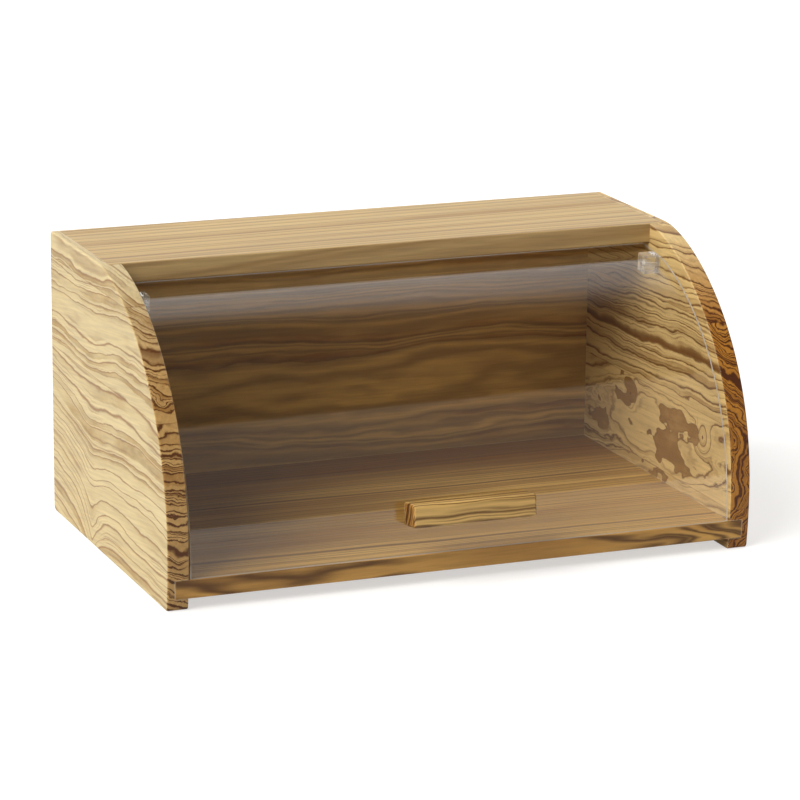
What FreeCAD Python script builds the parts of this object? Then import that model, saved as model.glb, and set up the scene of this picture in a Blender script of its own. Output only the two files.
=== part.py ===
import FreeCAD, Part
import math
import os

# Bread box in olive wood with a clear front lid that swings up on two pins.
# Millimetres. X runs along the width, the lid faces -Y, Z is up, and the floor is at Z = 0.
# The origin is under the middle of the whole box, handle included.

# ---- sizes of the wooden box ----
box_width = 400.0            # over the outer faces of the two side panels
cabinet_depth = 242.0        # side panels, from their widest point in front to the back
box_height = 192.0
side_thickness = 14.0
top_thickness = 13.0
bottom_thickness = 12.0
back_thickness = 13.0
runner_height = 7.5          # how far the side panels reach below the bottom board
joint_depth = 9.0            # how far the boards' ends are let into the side panels
glue_gap = 0.1               # left for glue round every let-in end

# ---- shape of the side panels ----
top_panel_depth = 111.0      # from the back to the top panel's front face
crown_overlap = 6.0          # the front curve starts this far behind the top panel's front face
crown_fullness = 0.311       # how long the curve stays level at its top end
front_fullness = 0.685       # how long the curve stays upright at its lower end
widest_height = 35.5         # height of the point that reaches furthest forward
foot_set_back = 2.0          # how far the front edge draws back from there to the floor
front_set_back = 0.5         # bottom board's front face behind the widest point
back_top_round = 3.0
back_bottom_round = 4.0
front_bottom_round = 2.5
edge_round = 1.2             # softened long edges of the wood
board_edge_round = 0.8       # softened front edges of the boards

# ---- lid ----
lid_thickness = 2.5
lid_side_gap = 1.5           # between the sheet and each side panel
lid_front_set_back = 0.7     # sheet's outer face behind the side panels' widest point
lid_rear_overlap = 6.0       # the sheet reaches this far behind the top panel's front face
lid_rear_slope = 8.0         # degrees, fall of the flat rear strip towards the front
lid_under_top = 2.3          # gap between the sheet and the top panel at the panel's front face
flat_past_block = 0.4        # the flat strip ends this far in front of the hinge blocks
lid_crown_fullness = 0.181   # how long the bent part keeps on along the flat strip
lid_front_fullness = 0.759   # how long the bent part stays upright above the bottom board
lid_bottom_gap = 0.2         # between the sheet's lower edge and the bottom board
bend_tolerance = 0.2         # how closely the sheet's round arcs follow its smooth bend

# ---- hinge ----
hinge_block_size = 11.0      # the blocks are cubes
hinge_block_round = 0.5
cement_gap = 0.02            # between each block and the sheet it is bonded to
lid_clear_of_top = 5.2       # between the sheet, turned upright, and the top panel's front face
pin_diameter = 3.0
pin_in_side = 8.0            # length of the pin inside the side panel
pin_running_gap = 0.05       # radial, pin in hinge block
pin_press_gap = 0.01         # radial, pin in side panel
pin_hole_spare = 0.5         # the hole in the side panel is deeper than the pin by this
pin_end_chamfer = 0.3

# ---- handle ----
handle_length = 84.0
handle_height = 15.0
handle_reach = 15.5          # from the lid's outer face to the handle's front face
handle_lift = 27.5           # middle of the handle above the bottom board
handle_round = 1.6
handle_top_front_round = 3.2
handle_seat_gap = 0.05       # between the flat back of the bar and the nearly flat sheet
screw_spacing = 50.0
screw_shank_diameter = 3.0
screw_head_diameter = 6.0
screw_head_height = 1.8
screw_length_in_handle = 10.0
screw_hole_gap = 0.25        # radial, screw in lid sheet
screw_head_gap = 0.05        # under the flat head, where the sheet is slightly hollow
screw_thread_gap = 0.01      # radial, screw in handle
slot_width = 0.9
slot_depth = 0.8

# ---- places that follow from the sizes ----
half_width = box_width / 2
inner_x = half_width - side_thickness
board_end_x = inner_x + joint_depth - glue_gap
lid_end_x = inner_x - lid_side_gap

back_y = cabinet_depth / 2
front_y = -cabinet_depth / 2
top_front_y = back_y - top_panel_depth
back_inner_y = back_y - back_thickness
bottom_front_y = front_y + front_set_back

floor_z = runner_height + bottom_thickness
ceiling_z = box_height - top_thickness

lid_front_y = front_y + lid_front_set_back
lid_bottom_z = floor_z + lid_bottom_gap
slope = math.radians(lid_rear_slope)
lid_rear_y = top_front_y + lid_rear_overlap
sheet_to_pin = lid_thickness + cement_gap + hinge_block_size / 2
pin_y = top_front_y - sheet_to_pin - lid_clear_of_top

# the block hangs square to the sloping strip, so its upper front edge leans forward of the pin line
block_front_y = pin_y - hinge_block_size / 2 * (math.cos(slope) + math.sin(slope))
bend_start_y = block_front_y - flat_past_block
bend_start_z = ceiling_z - lid_under_top - (top_front_y - bend_start_y) * math.tan(slope)
pin_z = bend_start_z + (pin_y - bend_start_y) * math.tan(slope) - sheet_to_pin / math.cos(slope)
block_inner_x = lid_end_x - hinge_block_size
pin_radius = pin_diameter / 2


def box_between(low, high):
    """Block between two opposite corners."""
    size = [b - a for a, b in zip(low, high)]
    return Part.makeBox(size[0], size[1], size[2], FreeCAD.Vector(*low))


def rod(start, direction, radius, length):
    """Round bar from a point along a direction."""
    return Part.makeCylinder(radius, length, FreeCAD.Vector(*start), FreeCAD.Vector(*direction))


def at(y, z, x=0.0):
    return FreeCAD.Vector(x, y, z)


def bezier(points):
    curve = Part.BezierCurve()
    curve.setPoles(points)
    return curve


def extrude_along_x(edges, length):
    """Closed outline in the YZ plane, made solid along X."""
    face = Part.Face(Part.Wire(edges))
    return face.extrude(FreeCAD.Vector(length, 0, 0))


def runs_along_x(edge):
    ends = [v.Point for v in edge.Vertexes]
    if len(ends) < 2:
        return False
    step = ends[1] - ends[0]
    return abs(step.x) > 1.0 and abs(step.y) < 1e-6 and abs(step.z) < 1e-6


def edges_along_x_at(shape, y, z):
    """Edges that run along X and lie on one line."""
    found = []
    for edge in shape.Edges:
        if not runs_along_x(edge):
            continue
        point = edge.Vertexes[0].Point
        if abs(point.y - y) < 0.01 and abs(point.z - z) < 0.01:
            found.append(edge)
    return found


def side_outline(x):
    """Outline of a side panel in the plane at x, front curve included."""
    crown_y = top_front_y + crown_overlap
    reach = crown_y - front_y
    rise = box_height - widest_height
    front_curve = bezier([
        at(crown_y, box_height, x),
        at(crown_y - crown_fullness * reach, box_height, x),
        at(front_y, widest_height + front_fullness * rise, x),
        at(front_y, widest_height, x),
    ])
    foot_curve = bezier([
        at(front_y, widest_height, x),
        at(front_y, widest_height / 2, x),
        at(front_y + foot_set_back, 0.0, x),
    ])
    return [
        Part.makeLine(at(front_y + foot_set_back, 0.0, x), at(back_y, 0.0, x)),
        Part.makeLine(at(back_y, 0.0, x), at(back_y, box_height, x)),
        Part.makeLine(at(back_y, box_height, x), at(crown_y, box_height, x)),
        front_curve.toShape(),
        foot_curve.toShape(),
    ]


def face_edges(shape, x):
    """Edges that bound the flat face at x."""
    return [e for e in shape.Edges if all(abs(v.Point.x - x) < 0.01 for v in e.Vertexes)]


def side_blank():
    """Right side panel before its housings are cut, with softened corners and edges."""
    blank = extrude_along_x(side_outline(inner_x), side_thickness)
    corners = [
        (back_y, box_height, back_top_round),
        (back_y, 0.0, back_bottom_round),
        (front_y + foot_set_back, 0.0, front_bottom_round),
    ]
    for y, z, radius in corners:
        blank = blank.makeFillet(radius, edges_along_x_at(blank, y, z))
    blank = blank.makeFillet(edge_round, face_edges(blank, half_width))
    return blank.makeFillet(edge_round / 2, face_edges(blank, inner_x))


def side_panel():
    """Right side panel with its housings and the hole for the hinge pin."""
    panel = side_blank()
    deep_x = inner_x + joint_depth
    past = 10.0
    housings = [
        box_between((inner_x - past, top_front_y - glue_gap, ceiling_z - glue_gap),
                    (deep_x, back_y + past, box_height + past)),
        box_between((inner_x - past, front_y - past, runner_height - glue_gap),
                    (deep_x, back_y + past, floor_z + glue_gap)),
        box_between((inner_x - past, back_inner_y - glue_gap, floor_z),
                    (deep_x, back_y + past, ceiling_z)),
        rod((inner_x - past, pin_y, pin_z), (1, 0, 0), pin_radius + pin_press_gap,
            past + pin_in_side + pin_hole_spare),
    ]
    for housing in housings:
        panel = panel.cut(housing)
    return panel.removeSplitter()


def top_panel():
    panel = box_between((-board_end_x, top_front_y, ceiling_z), (board_end_x, back_y, box_height))
    for z in (box_height, ceiling_z):
        panel = panel.makeFillet(board_edge_round, edges_along_x_at(panel, top_front_y, z))
    return panel.makeFillet(back_top_round, edges_along_x_at(panel, back_y, box_height))


def bottom_board():
    board = box_between((-board_end_x, bottom_front_y, runner_height), (board_end_x, back_y, floor_z))
    for z in (runner_height, floor_z):
        board = board.makeFillet(board_edge_round, edges_along_x_at(board, bottom_front_y, z))
    return board


def back_panel():
    return box_between((-board_end_x, back_inner_y, floor_z + glue_gap),
                       (board_end_x, back_y - glue_gap, ceiling_z - glue_gap))


def lid_bend():
    """Bent part of the sheet's outer face, from the flat strip down to the lower edge."""
    reach = bend_start_y - lid_front_y
    drop = bend_start_z - lid_bottom_z
    forward = at(-math.cos(slope), -math.sin(slope))
    start = at(bend_start_y, bend_start_z)
    return bezier([
        start,
        start + forward * (lid_crown_fullness * reach),
        at(lid_front_y, lid_bottom_z + lid_front_fullness * drop),
        at(lid_front_y, lid_bottom_z),
    ])


def lid_arcs():
    """The bend as a chain of tangent round arcs, which gives the sheet one thickness all along."""
    return lid_bend().toBSpline().toBiArcs(bend_tolerance)


def moved_arc(arc, depth):
    """The same arc, moved a set depth towards its centre, from its upper to its lower end."""
    points = []
    for share in (0.0, 0.5, 1.0):
        point = arc.value(arc.FirstParameter + share * (arc.LastParameter - arc.FirstParameter))
        points.append(point + (arc.Center - point).normalize() * depth)
    return points


def lid_sheet():
    """Clear sheet: a flat rear strip and one smooth bend down to the bottom board."""
    outer = [moved_arc(arc, 0.0) for arc in lid_arcs()]
    inner = [moved_arc(arc, lid_thickness) for arc in lid_arcs()]
    rear_z = bend_start_z + (lid_rear_y - bend_start_y) * math.tan(slope)
    rear_outer = at(lid_rear_y, rear_z)
    rear_inner = rear_outer + at(math.sin(slope), -math.cos(slope)) * lid_thickness
    outline = [Part.makeLine(rear_outer, outer[0][0])]
    outline += [Part.Arc(*points).toShape() for points in outer]
    outline.append(Part.makeLine(outer[-1][2], inner[-1][2]))
    outline += [Part.Arc(*reversed(points)).toShape() for points in reversed(inner)]
    outline.append(Part.makeLine(inner[0][0], rear_inner))
    outline.append(Part.makeLine(rear_inner, rear_outer))
    sheet = extrude_along_x(outline, 2 * lid_end_x)
    sheet.translate(FreeCAD.Vector(-lid_end_x, 0, 0))
    for hole in screw_holes(screw_shank_diameter / 2 + screw_hole_gap):
        sheet = sheet.cut(hole)
    return sheet


def handle_seat():
    """Point on the sheet's outer face behind the middle of the handle, and its outward direction."""
    seat_z = floor_z + handle_lift
    for arc in lid_arcs():
        if arc.value(arc.LastParameter).z <= seat_z:
            break
    rise = seat_z - arc.Center.z
    seat = at(arc.Center.y - math.sqrt(arc.Radius ** 2 - rise ** 2), seat_z)
    return seat, (seat - arc.Center).normalize()


def screw_points():
    """Where each screw's axis meets the sheet's outer face."""
    seat, outward = handle_seat()
    return [(seat + FreeCAD.Vector(side * screw_spacing / 2, 0, 0), outward) for side in (-1, 1)]


def screw_holes(radius):
    """Cutters through the sheet, one for each screw."""
    holes = []
    for point, outward in screw_points():
        start = point - outward * (lid_thickness + 2.0)
        holes.append(Part.makeCylinder(radius, lid_thickness + 4.0, start, outward))
    return holes


def handle_bar():
    """Bar built square to the axes, rounded, then tilted to stand square on the sheet."""
    seat, outward = handle_seat()
    half = handle_height / 2
    front = -handle_reach
    bar = box_between((-handle_length / 2, front, -half), (handle_length / 2, -handle_seat_gap, half))
    top_front = edges_along_x_at(bar, front, half)
    bar = bar.makeFillet(handle_top_front_round, top_front)
    soft = edges_along_x_at(bar, front, -half) + [
        e for e in bar.Edges
        if all(abs(abs(v.Point.x) - handle_length / 2) < 0.01 for v in e.Vertexes)
        and not all(abs(v.Point.y + handle_seat_gap) < 0.01 for v in e.Vertexes)
    ]
    bar = bar.makeFillet(handle_round, soft)
    bar.rotate(FreeCAD.Vector(0, 0, 0), FreeCAD.Vector(-1, 0, 0), handle_tilt(outward))
    bar.translate(seat)
    for point, direction in screw_points():
        pilot = Part.makeCylinder(screw_shank_diameter / 2 + screw_thread_gap,
                                  screw_length_in_handle + 0.5, point, direction)
        bar = bar.cut(pilot)
    return bar


def handle_tilt(outward):
    """Degrees that the sheet's outward direction rises above level."""
    return math.degrees(math.atan2(outward.z, -outward.y))


def handle_screw(side):
    """Slotted round-head screw from inside the lid into the handle."""
    point, outward = screw_points()[0 if side < 0 else 1]
    below_head = lid_thickness + screw_head_gap
    inside = point - outward * below_head
    shank = Part.makeCylinder(screw_shank_diameter / 2, below_head + screw_length_in_handle, inside, outward)
    head = Part.makeCylinder(screw_head_diameter / 2, screw_head_height, inside, outward * -1.0)
    head = head.makeFillet(screw_head_height * 0.55, rim_edges(head, inside - outward * screw_head_height))
    slot = Part.makeBox(screw_head_diameter + 2, slot_width, slot_depth + 1)
    slot.translate(FreeCAD.Vector(-screw_head_diameter / 2 - 1, -slot_width / 2, -slot_depth))
    turn = FreeCAD.Rotation(FreeCAD.Vector(0, 0, 1), outward * -1.0)
    slot.Placement = FreeCAD.Placement(inside - outward * screw_head_height, turn).multiply(slot.Placement)
    return shank.fuse(head).removeSplitter().cut(slot)


def rim_edges(shape, centre):
    """Circular edges centred on one point."""
    found = []
    for edge in shape.Edges:
        if hasattr(edge.Curve, "Radius") and (edge.Curve.Center - centre).Length < 0.01:
            found.append(edge)
    return found


def hinge_block():
    """Right hinge block, tilted to lie flat under the sheet, with the bore for the pin."""
    half = hinge_block_size / 2
    block = box_between((block_inner_x, -half, -half), (lid_end_x, half, half))
    top_edges = edges_along_x_at(block, -half, half) + edges_along_x_at(block, half, half)
    keep = [e.hashCode() for e in top_edges]
    block = block.makeFillet(hinge_block_round, [
        e for e in block.Edges
        if e.hashCode() not in keep and not all(abs(v.Point.z - half) < 0.01 for v in e.Vertexes)
    ])
    block.rotate(FreeCAD.Vector(0, 0, 0), FreeCAD.Vector(1, 0, 0), lid_rear_slope)
    block.translate(at(pin_y, pin_z))
    bore = rod((block_inner_x - 1, pin_y, pin_z), (1, 0, 0), pin_radius + pin_running_gap,
               hinge_block_size + 2)
    return block.cut(bore)


def hinge_pin():
    """Right hinge pin, pushed from inside through the block into the side panel."""
    length = inner_x + pin_in_side - block_inner_x
    pin = rod((block_inner_x, pin_y, pin_z), (1, 0, 0), pin_radius, length)
    ends = [e for e in pin.Edges if hasattr(e.Curve, "Radius")]
    return pin.makeChamfer(pin_end_chamfer, ends)


def mirrored(shape):
    """The same piece on the other side of the box."""
    return shape.mirror(FreeCAD.Vector(0, 0, 0), FreeCAD.Vector(1, 0, 0))


def origin_shift():
    """Moves the origin from the middle of the cabinet to the middle of the whole depth."""
    seat, outward = handle_seat()
    to_centre = handle_reach - handle_round
    front_line_y = seat.y + outward.y * to_centre - outward.z * (handle_height / 2 - handle_round)
    whole_front_y = front_line_y - handle_round
    return -(whole_front_y + back_y) / 2


def main():
    right_side = side_panel()
    right_block = hinge_block()
    right_pin = hinge_pin()
    pieces = {
        "side_panel_left": mirrored(right_side),
        "side_panel_right": right_side,
        "top_panel": top_panel(),
        "bottom_board": bottom_board(),
        "back_panel": back_panel(),
        "hinge_pin_left": mirrored(right_pin),
        "hinge_pin_right": right_pin,
        "lid_sheet": lid_sheet(),
        "hinge_block_left": mirrored(right_block),
        "hinge_block_right": right_block,
        "handle_bar": handle_bar(),
        "handle_screw_left": handle_screw(-1),
        "handle_screw_right": handle_screw(1),
    }
    os.makedirs("parts", exist_ok=True)
    shift = FreeCAD.Vector(0, origin_shift(), 0)
    for node, shape in pieces.items():
        shape.translate(shift)
        shape.exportStep("parts/" + node + ".step")


main()
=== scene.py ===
"""Bread box in olive wood with a hinged lid of clear acrylic.

The wooden pieces, the hinge blocks, the pins and the screws keep the frame's own shapes and get their
finishes here. The lid's sheet is made new: a flat blank is bored, bent over the front of the box and given
thin arrises.
"""

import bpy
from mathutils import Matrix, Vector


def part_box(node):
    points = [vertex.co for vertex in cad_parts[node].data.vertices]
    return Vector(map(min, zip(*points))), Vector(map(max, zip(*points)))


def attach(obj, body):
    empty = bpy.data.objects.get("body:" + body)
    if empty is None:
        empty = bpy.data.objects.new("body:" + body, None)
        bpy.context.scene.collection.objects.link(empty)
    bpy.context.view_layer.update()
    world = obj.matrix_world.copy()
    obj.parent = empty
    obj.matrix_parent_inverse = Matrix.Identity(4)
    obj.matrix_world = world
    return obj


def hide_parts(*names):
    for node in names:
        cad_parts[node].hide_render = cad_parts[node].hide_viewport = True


bl_info = {
    "name": "Olive Wood Bread Box",
    "version": (1, 0, 0),
    "blender": (4, 5, 0),
    "location": "3D View > Sidebar > Bread Box",
    "description": "Makes the bread box's boards, clear lid, hinges, handle and studio",
    "category": "Add Mesh",
}

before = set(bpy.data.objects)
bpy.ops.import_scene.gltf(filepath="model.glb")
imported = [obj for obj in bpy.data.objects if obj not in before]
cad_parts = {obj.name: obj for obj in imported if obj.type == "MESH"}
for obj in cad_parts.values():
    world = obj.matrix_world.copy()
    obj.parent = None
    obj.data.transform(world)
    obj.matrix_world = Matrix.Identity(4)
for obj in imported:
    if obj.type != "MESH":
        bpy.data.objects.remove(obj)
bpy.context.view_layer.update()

from bisect import bisect_right
from collections import namedtuple
from math import cos, pi, radians, sin

import bmesh
import bpy
from bpy.props import FloatProperty, FloatVectorProperty, PointerProperty
from mathutils import Euler, Matrix, Vector
from mathutils.geometry import interpolate_bezier

MM = 0.001
LID_LOW, LID_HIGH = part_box("lid_sheet")


# ---------------------------------------------------------------------------------------------
# Sizes and colours that a user would change
# ---------------------------------------------------------------------------------------------


def length(name, description, default):
    """A size in metres."""
    return FloatProperty(
        name=name, description=description, default=default, min=0.0, subtype="DISTANCE", unit="LENGTH"
    )


def share(name, description, default):
    """A share from 0 to 1."""
    return FloatProperty(
        name=name, description=description, default=default, min=0.0, max=1.0, subtype="FACTOR"
    )


def turn(name, description, degrees):
    """An angle, given in degrees."""
    return FloatProperty(
        name=name, description=description, default=radians(degrees), subtype="ANGLE", unit="ROTATION"
    )


def colour(name, description, default):
    """A colour with no alpha."""
    return FloatVectorProperty(
        name=name, description=description, default=default, size=3, min=0.0, max=1.0, subtype="COLOR"
    )


def strength(name, description, default):
    """The brightness of a light."""
    return FloatProperty(name=name, description=description, default=default, min=0.0)


class LidSizes(bpy.types.PropertyGroup):
    """Sizes of the bent clear sheet."""

    thickness: length("Thickness", "How thick the sheet is", 2.5 * MM)
    flat_run: length("Flat Run", "The flat strip over the hinge blocks, behind the bend", 26.085 * MM)
    rear_slope: turn("Rear Slope", "How much the flat strip falls towards the front", 8.0)
    crown_fullness: share("Crown Fullness", "How far the flat strip's line carries into the bend", 0.181)
    front_fullness: share("Front Fullness", "How far the upright front's line carries into the bend", 0.759)
    arris: length("Arris", "Width of the small bevel round the sheet", 0.3 * MM)
    row_height: length("Row Height", "Distance between the rows of faces down the sheet", 2.0 * MM)
    screw_height: length("Screw Height", "Height of the two screw holes", 47.0 * MM)
    screw_spacing: length("Screw Spacing", "Distance between the two screw holes", 50.0 * MM)
    hole_radius: length("Hole Radius", "Radius of a screw hole", 1.75 * MM)


class WoodColours(bpy.types.PropertyGroup):
    """Colours of the oiled olive wood."""

    sapwood: colour("Sapwood", "The pale ground of the wood", (0.645, 0.520, 0.280))
    heartwood: colour("Heartwood", "The tan bands beside the veins", (0.370, 0.235, 0.082))
    vein: colour("Vein", "The thin dark veins", (0.230, 0.090, 0.018))
    oiled_sapwood: colour("Oiled Sapwood", "The ground darkened by oil", (0.730, 0.460, 0.135))
    oiled_heartwood: colour("Oiled Heartwood", "The bands darkened by oil", (0.330, 0.150, 0.032))
    oiled_vein: colour("Oiled Vein", "The veins darkened by oil", (0.080, 0.028, 0.007))
    end_tint: colour("End Grain Tint", "How much end grain darkens each colour", (0.72, 0.46, 0.20))
    roughness: share("Roughness", "How dull the oiled surface is", 0.42)


class ClearColours(bpy.types.PropertyGroup):
    """Look of the clear acrylic and the steel."""

    acrylic: colour("Acrylic", "Tint of the clear acrylic", (0.985, 0.99, 0.99))
    shade: colour("Shade", "Light that comes through the sheet", (0.92, 0.92, 0.915))
    steel: colour("Steel", "Colour of the pins and screws", (0.60, 0.59, 0.57))


class StageSetting(bpy.types.PropertyGroup):
    """Studio light, floor and camera."""

    floor: colour("Floor", "Colour of the floor", (0.55, 0.55, 0.55))
    key: strength("Main Light", "Strength of the soft light from the front left", 3.15)
    key_softness: turn("Main Light Softness", "How wide the main light is", 46.0)
    top: strength("Top Light", "Strength of the soft light from above", 0.7)
    top_softness: turn("Top Light Softness", "How wide the top light is", 60.0)
    focal_length: FloatProperty(
        name="Focal Length", description="The camera's focal length", default=166.48, min=1.0, unit="CAMERA"
    )
    azimuth: turn("Azimuth", "The camera's turn round the box", -22.04)
    elevation: turn("Elevation", "The camera's angle above the floor", 14.66)
    roll: turn("Roll", "The camera's lean", 0.56)
    distance: length("Distance", "From the camera to the point it aims at", 2.4379)


# ---------------------------------------------------------------------------------------------
# Node trees
# ---------------------------------------------------------------------------------------------


class Tree:
    """Adds nodes to a node tree and joins them, and lays them out from left to right."""

    def __init__(self, tree):
        self.tree = tree
        self.tree.nodes.clear()

    def add(self, kind, inputs=None, **settings):
        node = self.tree.nodes.new("ShaderNode" + kind)
        node.location = (180 * (len(self.tree.nodes) % 24), -260 * (len(self.tree.nodes) // 24))
        for name, value in settings.items():
            setattr(node, name, value)
        for key, value in (inputs or {}).items():
            self.feed(node.inputs[key], value)
        return node

    def feed(self, socket, value):
        if isinstance(value, bpy.types.NodeSocket):
            self.tree.links.new(value, socket)
        else:
            socket.default_value = value

    def math(self, operation, a, b=0.0, c=0.0, clamp=False):
        return self.add("Math", {0: a, 1: b, 2: c}, operation=operation, use_clamp=clamp).outputs[0]

    def vector(self, operation, a, b=(0.0, 0.0, 0.0)):
        node = self.add("VectorMath", {0: a, 1: b}, operation=operation)
        return node.outputs["Value" if operation in ("LENGTH", "DOT_PRODUCT") else "Vector"]

    def scaled(self, vector, scale):
        return self.add("VectorMath", {"Vector": vector, "Scale": scale}, operation="SCALE").outputs["Vector"]

    def ease(self, value, low, high, to_low=0.0, to_high=1.0):
        inputs = {"Value": value, "From Min": low, "From Max": high, "To Min": to_low, "To Max": to_high}
        return self.add("MapRange", inputs, interpolation_type="SMOOTHSTEP").outputs["Result"]

    def blend(self, amount, first, second, kind="MIX"):
        node = self.add("Mix", {0: amount, 6: first, 7: second}, data_type="RGBA", blend_type=kind)
        return node.outputs[2]

    def noise(self, vector, seed, scale, detail=2.0, roughness=0.5):
        inputs = {"Vector": vector, "W": seed, "Scale": scale, "Detail": detail, "Roughness": roughness}
        return self.add("TexNoise", inputs, noise_dimensions="4D")

    def placed(self, made, inputs):
        node = self.add("Group")
        node.node_tree = made
        for key, value in inputs.items():
            self.feed(node.inputs[key], value)
        return node.outputs


SOCKETS = {"value": "NodeSocketFloat", "vector": "NodeSocketVector", "colour": "NodeSocketColor"}


def new_group(name, inputs, outputs):
    """A node group with named inputs and outputs. Returns its tree, its input sockets and its output node."""
    made = bpy.data.node_groups.new(name, "ShaderNodeTree")
    tree = Tree(made)
    for label, kind, default in inputs:
        socket = made.interface.new_socket(name=label, in_out="INPUT", socket_type=SOCKETS[kind])
        if default is not None:
            socket.default_value = default
    for label, kind in outputs:
        made.interface.new_socket(name=label, in_out="OUTPUT", socket_type=SOCKETS[kind])
    source = made.nodes.new("NodeGroupInput")
    target = made.nodes.new("NodeGroupOutput")
    return tree, source.outputs, target.inputs


def stave_group():
    """Boards glued from staves: each stave's figure is shifted, and a thin glue line shows between them."""
    tree, given, result = new_group(
        "Glued Staves",
        [
            ("Vector", "vector", None),
            ("Position", "value", 0.0),
            ("Low Seam", "value", -1.0),
            ("Middle Seam", "value", -1.0),
            ("High Seam", "value", -1.0),
            ("Shift", "vector", (0.0, 0.0, 0.0)),
        ],
        [("Vector", "vector"), ("Seam", "value"), ("Stave", "value")],
    )
    count, nearest = 0.0, 1.0
    for seam in ("Low Seam", "Middle Seam", "High Seam"):
        count = tree.math("ADD", count, tree.math("GREATER_THAN", given["Position"], given[seam]))
        gap = tree.math("ABSOLUTE", tree.math("SUBTRACT", given["Position"], given[seam]))
        nearest = tree.math("MINIMUM", nearest, gap)
    tree.feed(result["Vector"], tree.vector("ADD", given["Vector"], tree.scaled(given["Shift"], count)))
    tree.feed(result["Seam"], tree.ease(nearest, 0.05 * MM, 0.4 * MM, 1.0, 0.0))
    tree.feed(result["Stave"], count)
    return tree.tree


def knot_group():
    """A knot: the rings rise round a dark heart. With a lift below 0 it is a crotch, which pinches them."""
    tree, given, result = new_group(
        "Knot",
        [
            ("Vector", "vector", None),
            ("Centre", "vector", (0.0, 0.0, 0.0)),
            ("Shape", "vector", (0.75, 0.25, 1.0)),
            ("Size", "value", 0.01),
            ("Lift", "value", 0.03),
            ("Roundness", "value", 2.0),
        ],
        [("Rise", "value"), ("Heart", "value")],
    )
    away = tree.vector("MULTIPLY", tree.vector("SUBTRACT", given["Vector"], given["Centre"]), given["Shape"])
    reach = tree.math("DIVIDE", tree.vector("LENGTH", away), given["Size"])
    swell = tree.math("EXPONENT", tree.math("MULTIPLY", tree.math("POWER", reach, given["Roundness"]), -0.5))
    tree.feed(result["Rise"], tree.math("MULTIPLY", swell, given["Lift"]))
    tree.feed(result["Heart"], tree.ease(reach, 0.1, 0.3, 1.0, 0.0))
    return tree.tree


# How the rings waver: the amount's name, its step from the board's seed, its patches a metre and its detail.
WAVERS = (("Wander", 0.0, 15.0, 1.0), ("Ripple", 5.1, 48.0, 2.0), ("Kink", 7.3, 150.0, 3.0))
UNEVEN_RINGS = 2.2  # how many ring spacings a ring may be out of place
FINE_RINGS = 2.63  # fine veins between two veins
ISLAND = (0.455, 0.47)  # where a dark island of the clouded patch begins, and where it is whole
SHORE = 0.46  # the middle of the island's outline
SHORE_LINE = (0.004, 0.012)  # how far from its middle the outline starts and stops fading


def from_middle(tree, part):
    """How far a part of a ring lies from the ring's middle, from 0 to 1."""
    return tree.math("MULTIPLY", tree.math("ABSOLUTE", tree.math("SUBTRACT", part, 0.5)), 2.0)


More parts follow.
